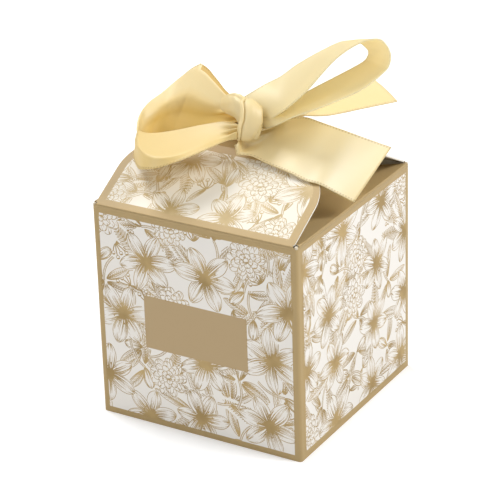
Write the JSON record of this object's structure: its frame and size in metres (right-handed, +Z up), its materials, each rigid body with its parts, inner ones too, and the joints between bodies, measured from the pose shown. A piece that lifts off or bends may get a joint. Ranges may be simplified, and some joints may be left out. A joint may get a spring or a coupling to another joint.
{
  "type": "favor box with ribbon bow",
  "caption": "Square card favor box whose printed lid flaps meet in a ridge and are tied shut with a satin ribbon bow; the lid and base flaps open on creases.",
  "frame": {"origin": "centre of the base, on the surface the box stands on", "axes": "+Z up, -Y out of the printed front wall, +X to the right of someone facing the front"},
  "size_m": [0.0749, 0.0751, 0.1127],
  "materials": {
    "printed_card": "white coated card, tan line print, matt",
    "tan_card": "solid tan print, matt",
    "satin": "single-faced satin ribbon, pale gold"
  },
  "bodies": {
    "sleeve": {"wall_front": "printed_card", "wall_right": "printed_card", "wall_back": "printed_card", "wall_left": "printed_card", "glue_tab": "tan_card"},
    "lid_front": {"lid_front": "printed_card", "lid_front_tab": "tan_card", "thread_front": "satin"},
    "lid_back": {"lid_back": "printed_card", "lid_back_tab": "tan_card", "thread_back": "satin"},
    "dust_flap_left": {"side_flap_left": "tan_card"},
    "dust_flap_right": {"side_flap_right": "tan_card"},
    "bow": {"knot_core": "satin", "knot_wrap": "satin", "loop_left": "satin", "loop_right": "satin", "tail_front": "satin", "tail_back": "satin"},
    "base": {"base_panel": "tan_card", "base_tuck_tab": "tan_card"},
    "base_dust_flap_left": {"base_flap_left": "tan_card"},
    "base_dust_flap_right": {"base_flap_right": "tan_card"}
  },
  "joints": [
    {"name": "lid_front_hinge", "type": "hinge", "parent": "sleeve", "child": "lid_front", "pos_m": [0, -0.03227, 0.065], "axis": [1, 0, 0], "range_deg": [0, 120]},
    {"name": "lid_back_hinge", "type": "hinge", "parent": "sleeve", "child": "lid_back", "pos_m": [0, 0.03227, 0.065], "axis": [-1, 0, 0], "range_deg": [0, 120]},
    {"name": "dust_flap_left_hinge", "type": "hinge", "parent": "sleeve", "child": "dust_flap_left", "pos_m": [-0.03227, 0, 0.065], "axis": [0, -1, 0], "range_deg": [0, 120]},
    {"name": "dust_flap_right_hinge", "type": "hinge", "parent": "sleeve", "child": "dust_flap_right", "pos_m": [0.03227, 0, 0.065], "axis": [0, 1, 0], "range_deg": [0, 120]},
    {"name": "bow_lift", "type": "slide", "parent": "sleeve", "child": "bow", "axis": [0, 0, 1], "range_m": [0, 0.17]},
    {"name": "base_hinge", "type": "hinge", "parent": "sleeve", "child": "base", "pos_m": [0, 0.03227, 0.00022], "axis": [1, 0, 0], "range_deg": [0, 90]},
    {"name": "base_flap_left_hinge", "type": "hinge", "parent": "sleeve", "child": "base_dust_flap_left", "pos_m": [-0.03173, 0, 0.00097], "axis": [0, 1, 0], "range_deg": [0, 90]},
    {"name": "base_flap_right_hinge", "type": "hinge", "parent": "sleeve", "child": "base_dust_flap_right", "pos_m": [0.03173, 0, 0.00097], "axis": [0, -1, 0], "range_deg": [0, 90]}
  ],
  "couplings": [
    {"joint": "lid_back_hinge", "follows": "lid_front_hinge", "ratio": 1},
    {"joint": "dust_flap_left_hinge", "follows": "lid_front_hinge", "ratio": 1},
    {"joint": "dust_flap_right_hinge", "follows": "lid_front_hinge", "ratio": 1},
    {"joint": "bow_lift", "follows": "lid_front_hinge", "m_per_rad": 0.08},
    {"joint": "base_flap_left_hinge", "follows": "base_hinge", "ratio": 1},
    {"joint": "base_flap_right_hinge", "follows": "base_hinge", "ratio": 1}
  ]
}
